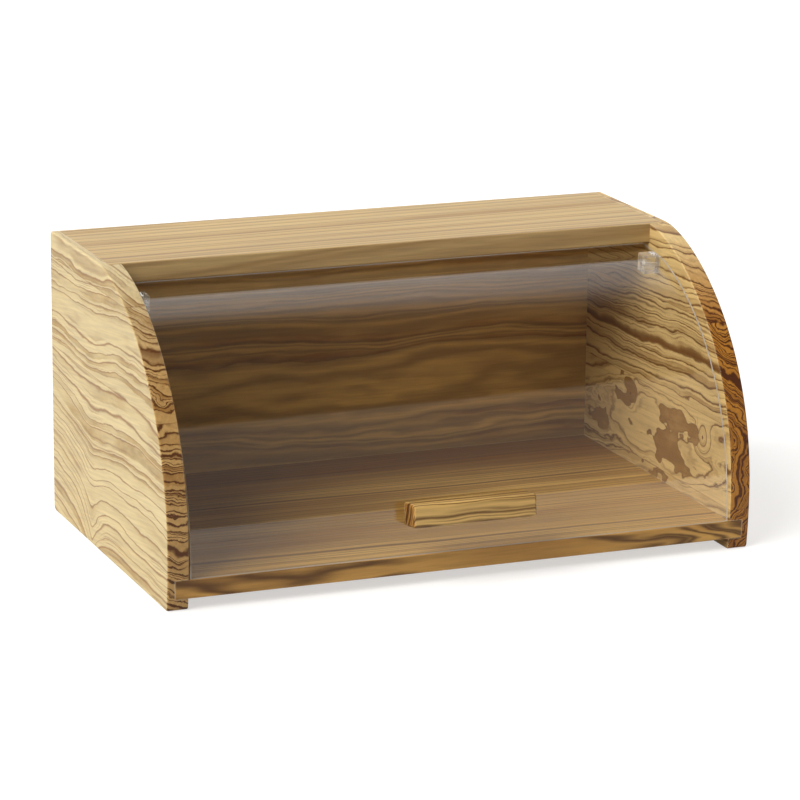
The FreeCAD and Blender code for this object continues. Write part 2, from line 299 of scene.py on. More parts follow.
def figure_group():
    """Olive figure: wavering growth rings round the log's heart, each with a dark vein and a tan band."""
    tree, given, result = new_group(
        "Olive Figure",
        [
            ("Vector", "vector", None),
            ("Seed", "value", 0.0),
            ("Ring Spacing", "value", 0.012),
            ("Wander", "value", 0.008),
            ("Ripple", "value", 0.003),
            ("Kink", "value", 0.0015),
            ("Stretch", "value", 5.0),
            ("Taper", "value", 0.0),
            ("Rise", "value", 0.0),
            ("Blotch", "value", 0.0),
            ("Vein Width", "value", 0.0011),
            ("Vein Cover", "value", 0.5),
        ],
        [("Vein", "value"), ("Fine", "value"), ("Band", "value"), ("Tone", "value"), ("Fibre", "value")],
    )
    vector, seed, spacing = given["Vector"], given["Seed"], given["Ring Spacing"]
    parts = tree.add("SeparateXYZ", {0: vector}).outputs
    along = tree.math("DIVIDE", parts["X"], given["Stretch"])
    drawn = tree.add("CombineXYZ", {"X": along, "Y": parts["Y"], "Z": parts["Z"]}).outputs[0]

    def cloud(step, scale, detail=2.0, roughness=0.6, place=drawn):
        """Clouds drawn out along the grain, different for each step from the seed."""
        return tree.noise(place, tree.math("ADD", seed, step), scale, detail, roughness).outputs

    # Rings, numbered outwards from the heart
    bent = vector
    for amount, step, scale, detail in WAVERS:
        sway = tree.vector("SUBTRACT", cloud(step, scale, detail)["Color"], (0.5, 0.5, 0.5))
        bent = tree.vector("ADD", bent, tree.scaled(sway, tree.math("MULTIPLY", given[amount], 2.0)))
    radius = tree.vector("LENGTH", tree.vector("MULTIPLY", bent, (0.0, 1.0, 1.0)))
    radius = tree.math("DIVIDE", radius, tree.math("MULTIPLY_ADD", parts["X"], given["Taper"], 1.0))
    plain = tree.math("DIVIDE", tree.math("ADD", radius, given["Rise"]), spacing)
    drift = tree.math("MULTIPLY_ADD", plain, 0.43, seed)
    uneven = tree.add("TexNoise", {"W": drift, "Detail": 1.0}, noise_dimensions="1D")
    tree.feed(uneven.inputs["Scale"], 1.0)
    ring = tree.math("MULTIPLY_ADD", uneven.outputs[0], UNEVEN_RINGS, plain)
    number, part = tree.math("FLOOR", ring), tree.math("FRACT", ring)
    luck = []
    for step in (0.0, 31.7, 57.9):
        lot = tree.math("ADD", number, tree.math("ADD", seed, step))
        luck.append(tree.add("TexWhiteNoise", {"W": lot}, noise_dimensions="1D").outputs["Value"])
    vein_luck, band_luck, width_luck = luck

    # Veins on the rings' borders, which come and go, and clusters of fine ones between them
    wide = tree.math("DIVIDE", given["Vein Width"], spacing)
    vein = tree.ease(from_middle(tree, part), tree.math("MULTIPLY_ADD", wide, -2.0, 1.0), 1.0)
    cover = tree.math("SUBTRACT", 1.02, given["Vein Cover"])
    come_and_go = tree.math("MULTIPLY_ADD", vein_luck, 0.35, cloud(3.1, 30.0)["Fac"])
    shown = tree.ease(come_and_go, tree.math("SUBTRACT", cover, 0.12), cover, 0.15, 1.0)
    vein = tree.math("MULTIPLY", vein, shown)
    fine_part = tree.math("FRACT", tree.math("MULTIPLY", ring, FINE_RINGS))
    fine = tree.ease(from_middle(tree, fine_part), tree.math("MULTIPLY_ADD", wide, -3.4, 1.0), 1.0)
    clusters = cloud(11.9, 34.0)["Fac"]
    tree.feed(result["Fine"], tree.math("MULTIPLY", fine, tree.ease(clusters, 0.30, 0.48)))
    fine = tree.math("MULTIPLY", fine, tree.ease(clusters, 0.44, 0.60, 0.0, 0.7))
    vein = tree.math("MAXIMUM", vein, fine)

    # The clouded patch: dark islands with darker shores on calm wood
    long_way = tree.vector("MULTIPLY", bent, (0.5, 1.0, 1.0))
    stain = cloud(41.0, 52.0, 2.5, 0.55, long_way)["Fac"]
    stain = tree.math("MULTIPLY_ADD", tree.math("SUBTRACT", given["Blotch"], 1.0), 0.22, stain)
    near = tree.ease(given["Blotch"], 0.02, 0.08)
    island = tree.math("MULTIPLY", near, tree.ease(stain, *ISLAND))
    off_shore = tree.math("ABSOLUTE", tree.math("SUBTRACT", stain, SHORE))
    shore = tree.math("MULTIPLY", near, tree.ease(off_shore, *SHORE_LINE, 0.8, 0.0))
    haze = tree.ease(cloud(43.0, 90.0, 3.0)["Fac"], 0.3, 0.7)
    inside = tree.math("MULTIPLY", island, tree.math("MULTIPLY_ADD", haze, 0.3, 0.15))
    calm = tree.math("MULTIPLY", given["Blotch"], 0.7)
    kept = tree.math("SUBTRACT", 1.0, tree.math("MAXIMUM", island, calm), clamp=True)
    vein = tree.math("MAXIMUM", tree.math("MULTIPLY", vein, kept), tree.math("MAXIMUM", shore, inside))
    tree.feed(result["Vein"], vein)

    # Tan bands outside some of the veins
    limit = tree.math("MULTIPLY_ADD", width_luck, 0.75, 0.12)
    full = tree.ease(part, tree.math("MULTIPLY", limit, 0.88), tree.math("ADD", limit, 0.03), 1.0, 0.0)
    fading = tree.math("POWER", tree.math("SUBTRACT", 1.0, part), 1.6)
    band = tree.math("MAXIMUM", full, tree.math("MULTIPLY", fading, 0.8))
    band = tree.math("MULTIPLY", band, tree.ease(band_luck, 0.1, 0.6))
    band = tree.math("MULTIPLY", band, tree.ease(cloud(23.8, 26.0)["Fac"], 0.38, 0.6, 0.25, 1.0))
    band = tree.math("MULTIPLY", band, tree.ease(cloud(19.4, 110.0, 3.0, 0.65)["Fac"], 0.25, 0.65, 0.5, 1.0))
    filled = tree.math("MULTIPLY", island, tree.math("MULTIPLY_ADD", haze, 0.4, 1.0))
    tree.feed(result["Band"], tree.math("MAXIMUM", tree.math("MULTIPLY", band, kept), filled))

    # Broad changes of tone, and fibres
    tree.feed(result["Tone"], tree.ease(cloud(27.2, 11.0, 2.0, 0.55)["Fac"], 0.3, 0.75))
    threads = tree.vector("MULTIPLY", vector, (30.0, 650.0, 650.0))
    tree.feed(result["Fibre"], tree.noise(threads, seed, 1.0, 2.0, 0.6).outputs[0])
    return tree.tree


def end_grain_group():
    """Where a board is cut across its grain."""
    tree, given, result = new_group("End Grain", [("Grain", "vector", (1.0, 0.0, 0.0))], [("End", "value")])
    facing = tree.add("TexCoord").outputs["Normal"]
    across = tree.math("ABSOLUTE", tree.vector("DOT_PRODUCT", facing, given["Grain"]))
    tree.feed(result["End"], tree.ease(across, 0.3, 0.8))
    return tree.tree


def worn_and_highlit_edge_group():
    """Arrises worn lighter by sanding and handling, with a painted highlight where their rounding would catch
    the light.
    """
    tree, given, result = new_group(
        "Worn And Highlit Edge", [("Vector", "vector", None), ("Radius", "value", 1.2 * MM)], [("Edge", "value")]
    )
    rounded = tree.add("Bevel", {"Radius": given["Radius"]}, samples=6).outputs["Normal"]
    square = tree.add("NewGeometry").outputs["Normal"]
    turned = tree.math("SUBTRACT", 1.0, tree.vector("DOT_PRODUCT", rounded, square))
    patchy = tree.noise(given["Vector"], 4.0, 120.0, 2.0, 0.6).outputs[0]
    rubbed_and_highlit = tree.math("MULTIPLY", tree.ease(turned, 0.01, 0.09), tree.ease(patchy, 0.25, 0.6, 0.6, 1.0))
    tree.feed(result["Edge"], rubbed_and_highlit)
    return tree.tree


WHITE = (1.0, 1.0, 1.0, 1.0)
DARKEST_VEIN = (0.02, 0.01, 0.004, 1.0)
SEAM_DEPTH = 0.45  # how dark a glue line is
WEAR_AND_HIGHLIGHT_DEPTH = 0.5  # how light a worn arris is, with its painted highlight


def wood_colour_group():
    """Oiled olive wood: turns the figure's masks into colour, roughness and a small relief."""
    tree, given, result = new_group(
        "Oiled Olive Wood",
        [
            ("Vein", "value", 0.0),
            ("Fine", "value", 0.0),
            ("Band", "value", 0.0),
            ("Tone", "value", 0.0),
            ("Fibre", "value", 0.5),
            ("End", "value", 0.0),
            ("Edge", "value", 0.0),
            ("Seam", "value", 0.0),
            ("Heart", "value", 0.0),
            ("Warmth", "value", 0.3),
            ("Band Depth", "value", 0.6),
            ("Vein Depth", "value", 0.7),
            ("Cut Contrast", "value", 0.3),
            ("Sapwood", "colour", (0.75, 0.6, 0.4, 1.0)),
            ("Heartwood", "colour", (0.5, 0.35, 0.2, 1.0)),
            ("Dark Vein", "colour", (0.12, 0.06, 0.03, 1.0)),
            ("End Tint", "colour", (0.6, 0.45, 0.3, 1.0)),
            ("Dullness", "value", 0.4),
        ],
        [("Colour", "colour"), ("Roughness", "value"), ("Height", "value")],
    )
    warmth = tree.math("MULTIPLY", given["Tone"], given["Warmth"])
    banded = tree.math("MULTIPLY", given["Band"], given["Band Depth"])
    ground = tree.blend(warmth, given["Sapwood"], given["Heartwood"])
    ground = tree.blend(banded, ground, given["Heartwood"])
    depth = tree.math("MULTIPLY_ADD", given["End"], given["Cut Contrast"], given["Vein Depth"])
    vein = tree.math("MAXIMUM", given["Vein"], tree.math("MULTIPLY", given["Fine"], given["End"]))
    deeper = tree.math("MULTIPLY", given["End"], given["Cut Contrast"])
    deep = tree.blend(deeper, given["Dark Vein"], DARKEST_VEIN)
    veined = tree.blend(tree.math("MULTIPLY", vein, depth, clamp=True), ground, deep)
    dark = tree.math("MAXIMUM", given["Heart"], tree.math("MULTIPLY", given["Seam"], SEAM_DEPTH))
    veined = tree.blend(dark, veined, given["Dark Vein"])
    tint = tree.blend(given["End"], WHITE, given["End Tint"])
    cut = tree.blend(1.0, veined, tint, "MULTIPLY")
    combed = tree.scaled(cut, tree.ease(given["Fibre"], 0.25, 0.75, 0.86, 1.1))
    # Arrises go lighter than the sapwood: partly sanding wear, partly a painted highlight on their rounding
    rubbed_and_highlit = tree.blend(0.3, given["Sapwood"], WHITE)
    worn_and_highlit = tree.blend(tree.math("MULTIPLY", given["Edge"], WEAR_AND_HIGHLIGHT_DEPTH), combed, rubbed_and_highlit)
    tree.feed(result["Colour"], worn_and_highlit)
    dull = tree.math("ADD", given["Dullness"], tree.ease(given["Fibre"], 0.2, 0.8, -0.06, 0.08))
    dull = tree.math("ADD", dull, tree.math("MULTIPLY", given["End"], 0.08))
    glossier = tree.math("MULTIPLY", given["Vein"], 0.05)
    tree.feed(result["Roughness"], tree.math("SUBTRACT", dull, glossier, clamp=True))
    relief = tree.math("SUBTRACT", given["Fibre"], tree.math("MULTIPLY", given["Vein"], 0.6))
    tree.feed(result["Height"], tree.math("SUBTRACT", relief, tree.math("MULTIPLY", given["Seam"], 1.5)))
    return tree.tree


def handling_group():
    """Faint handling marks on a polished clear surface: broad smears and short fine scratches."""
    tree, given, result = new_group(
        "Handling Marks",
        [("Vector", "vector", None), ("Amount", "value", 0.02), ("Base", "value", 0.0)],
        [("Roughness", "value"), ("Mark", "value")],
    )
    smear = tree.ease(tree.noise(given["Vector"], 1.7, 22.0, 4.0, 0.62).outputs[0], 0.52, 0.8)
    drawn = tree.vector("MULTIPLY", given["Vector"], (30.0, 900.0, 300.0))
    hairs = tree.ease(tree.noise(drawn, 5.2, 1.0, 2.0, 0.6).outputs[0], 0.68, 0.8, 0.0, 0.35)
    marks = tree.math("MAXIMUM", smear, hairs)
    tree.feed(result["Mark"], marks)
    tree.feed(result["Roughness"], tree.math("MULTIPLY_ADD", marks, given["Amount"], given["Base"]))
    return tree.tree


GROUPS = {}


def shared_groups():
    """Builds the node groups once."""
    if not GROUPS:
        GROUPS.update(
            staves=stave_group(),
            knot=knot_group(),
            figure=figure_group(),
            end=end_grain_group(),
            edge=worn_and_highlit_edge_group(),
            wood=wood_colour_group(),
            marks=handling_group(),
        )
    return GROUPS


# ---------------------------------------------------------------------------------------------
# Finishes
# ---------------------------------------------------------------------------------------------

WOOD_IOR, ACRYLIC_IOR = 1.45, 1.49
SMEAR_TINT, RING_TINT = (0.95, 0.955, 0.96, 1.0), (0.42, 0.41, 0.40, 1.0)
FLOOR_GLOW, GLOW_WHEN_SEEN = 0.20, 0.85  # the second is added where the floor itself is looked at
STAVE_STEP = 0.35  # of the seed, from one stave to the next
ALONG_DEPTH, ALONG_LENGTH = (0.0, 1.0, 0.0), (1.0, 0.0, 0.0)
NO_SEAM = -1.0

Knot = namedtuple("Knot", ["centre", "shape", "size", "lift", "roundness", "heart"], defaults=[2.0, False])
Board = namedtuple(
    "Board",
    [
        "seed",
        "grain",
        "tilt",  # of the log's heart line
        "heart",  # the heart line's place, with X along the grain
        "spacing",  # of the growth rings
        "wander",  # slow, middling and quick wavering of the rings
        "ripple",
        "kink",
        "stretch",  # how far the figure is drawn out along the grain
        "taper",  # how fast the rings widen along the grain
        "vein_width",
        "vein_cover",  # how much of each ring has its vein
        "oil",  # how far the oil has darkened the board
        "cut_axis",  # a face across this axis is shown as end grain
        "cut_tint",
        "cut_contrast",
        "end_waver",  # how much more end grain wavers
        "warmth",
        "band_depth",
        "vein_depth",
        "seams",  # heights of the glue lines between staves
        "shift",  # of the figure from one stave to the next
        "knots",
        "blotches",  # middles of the clouded patch
    ],
)

LEFT_SIDE = Board(
    seed=7.9,
    grain=ALONG_DEPTH,
    tilt=radians(7.0),
    heart=(-0.080, -0.150, 0.238),
    spacing=0.0068,
    wander=0.0100,
    ripple=0.0040,
    kink=0.0014,
    stretch=2.6,
    taper=0.9,
    vein_width=0.00085,
    vein_cover=0.70,
    oil=0.0,
    cut_axis=ALONG_DEPTH,
    cut_tint=0.78,
    cut_contrast=0.5,
    end_waver=1.0,
    warmth=0.14,
    band_depth=0.95,
    vein_depth=0.82,
    seams=(NO_SEAM, 0.115, 0.175),
    shift=(0.011, 0.001, 0.004),
    knots=(
        Knot(centre=(0.0, 0.042, -0.002), shape=(0.0, 1.0, 0.3), size=0.01, lift=-0.024, roundness=1.0),
    ),
    blotches=(),
)
RIGHT_SIDE = LEFT_SIDE._replace(
    seed=13.3,
    cut_tint=1.1,
    cut_contrast=0.3,
    tilt=radians(3.0),
    heart=(0.0, 0.140, 0.058),
    spacing=0.0062,
    wander=0.0120,
    ripple=0.0052,
    kink=0.0015,
    stretch=2.2,
    taper=0.0,
    vein_width=0.00095,
    vein_cover=0.76,
    oil=0.50,
    warmth=0.16,
    band_depth=0.85,
    vein_depth=0.95,
    seams=(0.027, 0.081, 0.143),
    shift=(0.017, -0.002, 0.005),
    knots=(
        Knot(centre=(0.186, 0.041, 0.068), shape=(0.3, 1.0, 1.0), size=0.0042, lift=0.012, heart=True),
        Knot(centre=(0.186, -0.07, 0.065), shape=(0.3, 0.9, 0.8), size=0.0052, lift=0.015, heart=True),
    ),
    blotches=(
        Knot(centre=(0.186, -0.015, 0.05), shape=(0.3, 0.7, 1.0), size=0.027, lift=1.0, roundness=3.0),
        Knot(centre=(0.186, 0.05, 0.062), shape=(0.3, 0.8, 1.0), size=0.018, lift=0.9, roundness=3.0),
        Knot(centre=(0.186, 0.088, 0.054), shape=(0.3, 0.8, 1.0), size=0.013, lift=0.8, roundness=3.0),
    ),
)
TOP = Board(
    seed=5.6,
    grain=ALONG_LENGTH,
    tilt=0.0,
    heart=(0.0, -0.160, 0.120),
    spacing=0.0085,
    wander=0.0050,
    ripple=0.0012,
    kink=0.0003,
    stretch=9.0,
    taper=0.12,
    vein_width=0.0016,
    vein_cover=0.55,
    oil=0.34,
    cut_axis=ALONG_DEPTH,
    cut_tint=0.10,
    cut_contrast=-0.25,
    end_waver=0.0,
    warmth=0.40,
    band_depth=0.95,
    vein_depth=0.62,
    seams=(NO_SEAM, NO_SEAM, NO_SEAM),
    shift=(0.0, 0.0, 0.0),
    knots=(),
    blotches=(),
)
BOTTOM = TOP._replace(
    seed=17.5,
    heart=(0.0, 0.150, 0.016),
    spacing=0.0042,
    wander=0.0100,
    ripple=0.0032,
    kink=0.0004,
    stretch=6.0,
    vein_width=0.0009,
    vein_cover=0.62,
    oil=1.0,
    cut_tint=0.30,
    cut_contrast=0.1,
    warmth=1.25,
    band_depth=0.80,
    vein_depth=0.75,
)
BACK = TOP._replace(
    seed=14.9,
    heart=(0.02, 0.170, 0.070),
    spacing=0.0085,
    wander=0.0150,
    ripple=0.0040,
    kink=0.0008,
    stretch=4.5,
    vein_width=0.0022,
    vein_cover=0.50,
    oil=0.95,
    cut_tint=0.0,
    cut_contrast=0.0,
    warmth=0.50,
    band_depth=1.0,
    vein_depth=0.50,
)
HANDLE = TOP._replace(
    seed=21.2,
    heart=(0.0, -0.070, 0.060),
    spacing=0.0036,
    wander=0.0080,
    ripple=0.0028,
    kink=0.0005,
    stretch=4.0,
    vein_width=0.0009,
    vein_cover=0.80,
    oil=0.85,
    cut_axis=ALONG_LENGTH,
    cut_tint=0.6,
    cut_contrast=0.2,
    warmth=0.50,
    band_depth=0.80,
    vein_depth=0.90,
)


def new_material(name):
    """An empty node material: its tree and its output node."""
    made = bpy.data.materials.new(name)
    made.use_nodes = True
    tree = Tree(made.node_tree)
    return made, tree, tree.add("OutputMaterial")


def mixed(first, second, share_of_second):
    """A colour between two, with full alpha."""
    return (*Vector(first).lerp(Vector(second), share_of_second), 1.0)


def placed_knot(tree, place, spot):
    """A knot group set to one knot's place and size."""
    return tree.placed(
        shared_groups()["knot"],
        {
            "Vector": place,
            "Centre": spot.centre,
            "Shape": spot.shape,
            "Size": spot.size,
            "Lift": spot.lift,
            "Roundness": spot.roundness,
        },
    )


def olive_wood(name, board):
    """The oiled finish of one board."""
    groups, colours = shared_groups(), bpy.context.scene.bread_box_wood
    made, tree, output = new_material(name)
    place = tree.add("TexCoord").outputs["Object"]
    quarter = pi / 2 if board.grain == ALONG_DEPTH else 0.0
    lean = (board.tilt, 0.0, quarter) if quarter else (0.0, board.tilt, 0.0)
    back = tuple(-part for part in board.heart)
    turned = tree.add("Mapping", {"Vector": place, "Location": back, "Rotation": lean}).outputs[0]
    height = tree.add("SeparateXYZ", {0: place}).outputs["Z"]
    low, mid, high = board.seams
    staves = tree.placed(
        groups["staves"],
        {
            "Vector": turned,
            "Position": height,
            "Low Seam": low,
            "Middle Seam": mid,
            "High Seam": high,
            "Shift": board.shift,
        },
    )
    rise, heart, blotch = 0.0, 0.0, 0.0
    for spot in board.knots:
        knot = placed_knot(tree, place, spot)
        rise = tree.math("ADD", rise, knot["Rise"])
        if spot.heart:
            heart = tree.math("MAXIMUM", heart, knot["Heart"])
    for spot in board.blotches:
        blotch = tree.math("MAXIMUM", blotch, placed_knot(tree, place, spot)["Rise"])
    seed = tree.math("MULTIPLY_ADD", staves["Stave"], STAVE_STEP, board.seed)
    end = tree.placed(groups["end"], {"Grain": board.cut_axis})["End"]
    figure = tree.placed(
        groups["figure"],
        {
            "Vector": staves["Vector"],
            "Seed": seed,
            "Ring Spacing": board.spacing,
            "Wander": board.wander,
            "Ripple": tree.math("MULTIPLY_ADD", end, board.end_waver * board.ripple, board.ripple),
            "Kink": tree.math("MULTIPLY_ADD", end, board.end_waver * board.kink, board.kink),
            "Stretch": board.stretch,
            "Taper": board.taper,
            "Rise": rise,
            "Blotch": blotch,
            "Vein Width": board.vein_width,
            "Vein Cover": board.vein_cover,
        },
    )
    wood = tree.placed(
        groups["wood"],
        {
            **{mask: figure[mask] for mask in ("Vein", "Fine", "Band", "Tone", "Fibre")},
            "End": end,
            "Edge": tree.placed(groups["edge"], {"Vector": place})["Edge"],
            "Seam": staves["Seam"],
            "Heart": heart,
            "Warmth": board.warmth,
            "Band Depth": board.band_depth,
            "Vein Depth": board.vein_depth,
            "Cut Contrast": board.cut_contrast,
            "Sapwood": mixed(colours.sapwood, colours.oiled_sapwood, board.oil),
            "Heartwood": mixed(colours.heartwood, colours.oiled_heartwood, board.oil),
            "Dark Vein": mixed(colours.vein, colours.oiled_vein, board.oil),
            "End Tint": mixed(WHITE[:3], colours.end_tint, board.cut_tint),
            "Dullness": colours.roughness,
        },
    )
    relief = tree.add("Bump", {"Height": wood["Height"], "Distance": 0.05 * MM, "Strength": 0.5})
    shader = tree.add(
        "BsdfPrincipled",
        {
            "Base Color": wood["Colour"],
            "Roughness": wood["Roughness"],
            "Normal": relief.outputs[0],
            "IOR": WOOD_IOR,
        },
    )
    tree.feed(output.inputs["Surface"], shader.outputs[0])
    return made


def clear_acrylic(name, base_roughness, marks_amount, clearness):
    """Clear cast acrylic. Light for the wood behind it passes straight through."""
    groups, colours = shared_groups(), bpy.context.scene.bread_box_clear
    made, tree, output = new_material(name)
    place = tree.add("TexCoord").outputs["Object"]
    marks = tree.placed(groups["marks"], {"Vector": place, "Amount": marks_amount, "Base": base_roughness})
    tint = tree.blend(marks["Mark"], (*colours.acrylic, 1.0), SMEAR_TINT)
    shader = tree.add(
        "BsdfPrincipled",
        {
            "Base Color": tint,
            "Roughness": marks["Roughness"],
            "IOR": ACRYLIC_IOR,
            "Transmission Weight": clearness,
        },
    )
    passing = tree.add("BsdfTransparent", {"Color": (*colours.shade, 1.0)})
    path = tree.add("LightPath").outputs
    through = tree.math("MAXIMUM", path["Is Shadow Ray"], path["Is Diffuse Ray"])
    both = tree.add("MixShader", {0: through, 1: shader.outputs[0], 2: passing.outputs[0]})
    tree.feed(output.inputs["Surface"], both.outputs[0])
    return made


def turned_steel(name, ring_scale):
    """Steel with fine tool rings and a slightly uneven polish."""
    groups, colours = shared_groups(), bpy.context.scene.bread_box_clear
    made, tree, output = new_material(name)
    place = tree.add("TexCoord").outputs["Object"]
    marks = tree.placed(groups["marks"], {"Vector": place, "Amount": 0.18, "Base": 0.24})
    rings = tree.noise(tree.vector("MULTIPLY", place, (ring_scale, 60.0, 60.0)), 2.0, 1.0, 2.0).outputs[0]
    shade = tree.blend(tree.ease(rings, 0.3, 0.7), (*colours.steel, 1.0), RING_TINT)
    relief = tree.add("Bump", {"Height": rings, "Distance": 0.02 * MM, "Strength": 0.4})
    shader = tree.add(
        "BsdfPrincipled",
        {"Base Color": shade, "Roughness": marks["Roughness"], "Normal": relief.outputs[0], "Metallic": 1.0},
    )
    tree.feed(output.inputs["Surface"], shader.outputs[0])
    return made


def pale_floor(name):
    """A plain pale floor with the least unevenness."""
    made, tree, output = new_material(name)
    place = tree.add("TexCoord").outputs["Object"]
    cloud = tree.noise(place, 3.0, 2.5, 3.0).outputs[0]
    white = bpy.context.scene.bread_box_stage.floor
    path = tree.add("LightPath").outputs
    seen = tree.math("MAXIMUM", path["Is Camera Ray"], path["Is Transmission Ray"])
    shade = tree.blend(tree.ease(cloud, 0.3, 0.7), (*white, 1.0), (*[0.985 * part for part in white], 1.0))
    shader = tree.add(
        "BsdfPrincipled",
        {
            "Base Color": shade,
            "Roughness": tree.ease(cloud, 0.3, 0.7, 0.8, 0.9),
            "Specular IOR Level": 0.2,
            "Emission Color": shade,
            "Emission Strength": tree.math("MULTIPLY_ADD", seen, GLOW_WHEN_SEEN, FLOOR_GLOW),
        },
    )
    tree.feed(output.inputs["Surface"], shader.outputs[0])
    return made


def finish_node(node, material):
    """Puts a finish in a frame piece's own slot."""
    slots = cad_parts[node].material_slots
    if not slots:
        raise RuntimeError(f"{node} has no material slot")
    slots[0].material = material


# ---------------------------------------------------------------------------------------------
# The bent clear sheet
# ---------------------------------------------------------------------------------------------


class BentLine:
    """The line down the sheet's outer face, from its rear edge over the bend to its lower edge."""

    STEPS = 400

    def __init__(self, sizes, rear, front, bottom, top):
        fall = Vector((0.0, -cos(sizes.rear_slope), -sin(sizes.rear_slope)))
        behind = Vector((0.0, rear, top))
        start = behind + fall * sizes.flat_run
        crown = start + fall * (sizes.crown_fullness * (start.y - front))
        nose = Vector((0.0, front, bottom + sizes.front_fullness * (start.z - bottom)))
        end = Vector((0.0, front, bottom))
        self.points = [behind] + interpolate_bezier(start, crown, nose, end, self.STEPS)
        self.lengths = [0.0]
        for before, after in zip(self.points, self.points[1:]):
            self.lengths.append(self.lengths[-1] + (after - before).length)
        self.total = self.lengths[-1]
        self.middles = [(near + far) / 2 for near, far in zip(self.lengths, self.lengths[1:])]

    def place(self, run):
        """The point at a length along the line, and the way out of the sheet there."""
        step = min(max(bisect_right(self.lengths, run) - 1, 0), len(self.points) - 2)
        before, after = self.points[step], self.points[step + 1]
        part = (run - self.lengths[step]) / (self.lengths[step + 1] - self.lengths[step])
        way = self.way(run)
        return before.lerp(after, part), Vector((0.0, way.z, -way.y))

    def way(self, run):
        """The direction along the line, blended between neighbouring steps so that the bend is smooth."""
        step = min(max(bisect_right(self.middles, run) - 1, 0), len(self.middles) - 2)
        here, ahead = self.middles[step], self.middles[step + 1]
        part = min(max((run - here) / (ahead - here), 0.0), 1.0)
        first = (self.points[step + 1] - self.points[step]).normalized()
        second = (self.points[step + 2] - self.points[step + 1]).normalized()
        return first.lerp(second, part).normalized()

    def run_at_height(self, height):
        """The length along the line at which it comes down to a height."""
        for before, after, run, next_run in zip(self.points, self.points[1:], self.lengths, self.lengths[1:]):
            if after.z <= height <= before.z:
                return run + (next_run - run) * (before.z - height) / (before.z - after.z)
        raise RuntimeError("the sheet doesn't come down to the screws' height")


WINDOW = 3  # a hole's square window of faces reaches this many radii from its middle
HOLE_SIDES = 32
HOLE_REACH = 2  # this many radii to a side of a hole's middle, and twice as many up or down, is its rim
CUT_EDGE = 1  # the sheet's second material slot
CORNER_FOLD = radians(40)  # a sharper fold is a corner of the sheet
SHADE_FOLD = radians(18)  # a sharper fold is shaded as an edge
SHORTEST_RIM = 0.6 * MM  # an edge shorter than this isn't part of the sheet's outline


def cut_blank(sizes, line, half_width, holes):
    """The flat blank: a sheet in rows, with a round hole for each screw, and its thickness."""
    bm = bmesh.new()
    rows = round(line.total / sizes.row_height)
    half_length = line.total / 2
    place = Matrix.Translation((0.0, half_length, 0.0)) @ Matrix.Diagonal((half_width, half_length, 1.0, 1.0))
    bmesh.ops.create_grid(bm, x_segments=1, y_segments=rows, size=1.0, matrix=place)
    window = sizes.hole_radius * WINDOW
    for across, down in holes:
        for side, point in ((0, across), (1, down)):
            for edge in (point - window, point + window):
                spot, normal = Vector((0.0, 0.0, 0.0)), Vector((0.0, 0.0, 0.0))
                spot[side], normal[side] = edge, 1.0
                everything = bm.verts[:] + bm.edges[:] + bm.faces[:]
                bmesh.ops.bisect_plane(bm, geom=everything, dist=1e-7, plane_co=spot, plane_no=normal)
    for across, down in holes:
        hole = Vector((across, down, 0.0))
        away = {face: face.calc_center_median() - hole for face in bm.faces}
        inside = [face for face in bm.faces if abs(away[face].x) < window and abs(away[face].y) < window]
        bore_hole(bm, inside, across, down, sizes.hole_radius)
    bmesh.ops.recalc_face_normals(bm, faces=bm.faces)
    bmesh.ops.solidify(bm, geom=bm.faces[:], thickness=sizes.thickness)
    bmesh.ops.translate(bm, verts=bm.verts, vec=(0.0, 0.0, -max(vert.co.z for vert in bm.verts)))
    return bm


def bore_hole(bm, inside, across, down, radius):
    """Opens a window in the blank and joins its rim to a circle."""
    edges = dict.fromkeys(edge for face in inside for edge in face.edges)
    rim = [edge for edge in edges if sum(face in inside for face in edge.link_faces) == 1]
    bmesh.ops.delete(bm, geom=inside, context="FACES_KEEP_BOUNDARY")
    circle = bmesh.ops.create_circle(
        bm, cap_ends=False, radius=radius, segments=HOLE_SIDES, matrix=Matrix.Translation((across, down, 0.0))
    )
    round_rim = dict.fromkeys(edge for vert in circle["verts"] for edge in vert.link_edges)
    bmesh.ops.bridge_loops(bm, edges=rim + list(round_rim))


def bend_blank(bm, line):
    """Lays the flat blank over the bent line."""
    for vert in bm.verts:
        point, out = line.place(vert.co.y)
        vert.co = Vector((vert.co.x, point.y, point.z)) + out * vert.co.z
    if bm.calc_volume(signed=True) < 0.0:
        bmesh.ops.reverse_faces(bm, faces=bm.faces)


def piece_from(bm, name, materials):
    """A new object at the origin from a finished bmesh."""
    mesh = bpy.data.meshes.new(name)
    bm.to_mesh(mesh)
    bm.free()
    for material in materials:
        mesh.materials.append(material)
    made = bpy.data.objects.new(name, mesh)
    bpy.context.scene.collection.objects.link(made)
    return made


# ---------------------------------------------------------------------------------------------
# Operators
# ---------------------------------------------------------------------------------------------


class BREADBOX_OT_sides(bpy.types.Operator):
    """Give the two side panels their olive wood, glued from staves with the grain along the depth"""

    bl_idname = "breadbox.sides"
    bl_label = "Side Panels"

    def execute(self, context):
        finish_node("side_panel_left", olive_wood("left side wood", LEFT_SIDE))
        finish_node("side_panel_right", olive_wood("right side wood", RIGHT_SIDE))
        return {"FINISHED"}


class BREADBOX_OT_boards(bpy.types.Operator):
    """Give the top panel, bottom board and back panel their olive wood, with the grain along the length"""

    bl_idname = "breadbox.boards"
    bl_label = "Top, Bottom and Back"

    def execute(self, context):
        finish_node("top_panel", olive_wood("top wood", TOP))
        finish_node("bottom_board", olive_wood("bottom wood", BOTTOM))
        finish_node("back_panel", olive_wood("back wood", BACK))
        return {"FINISHED"}


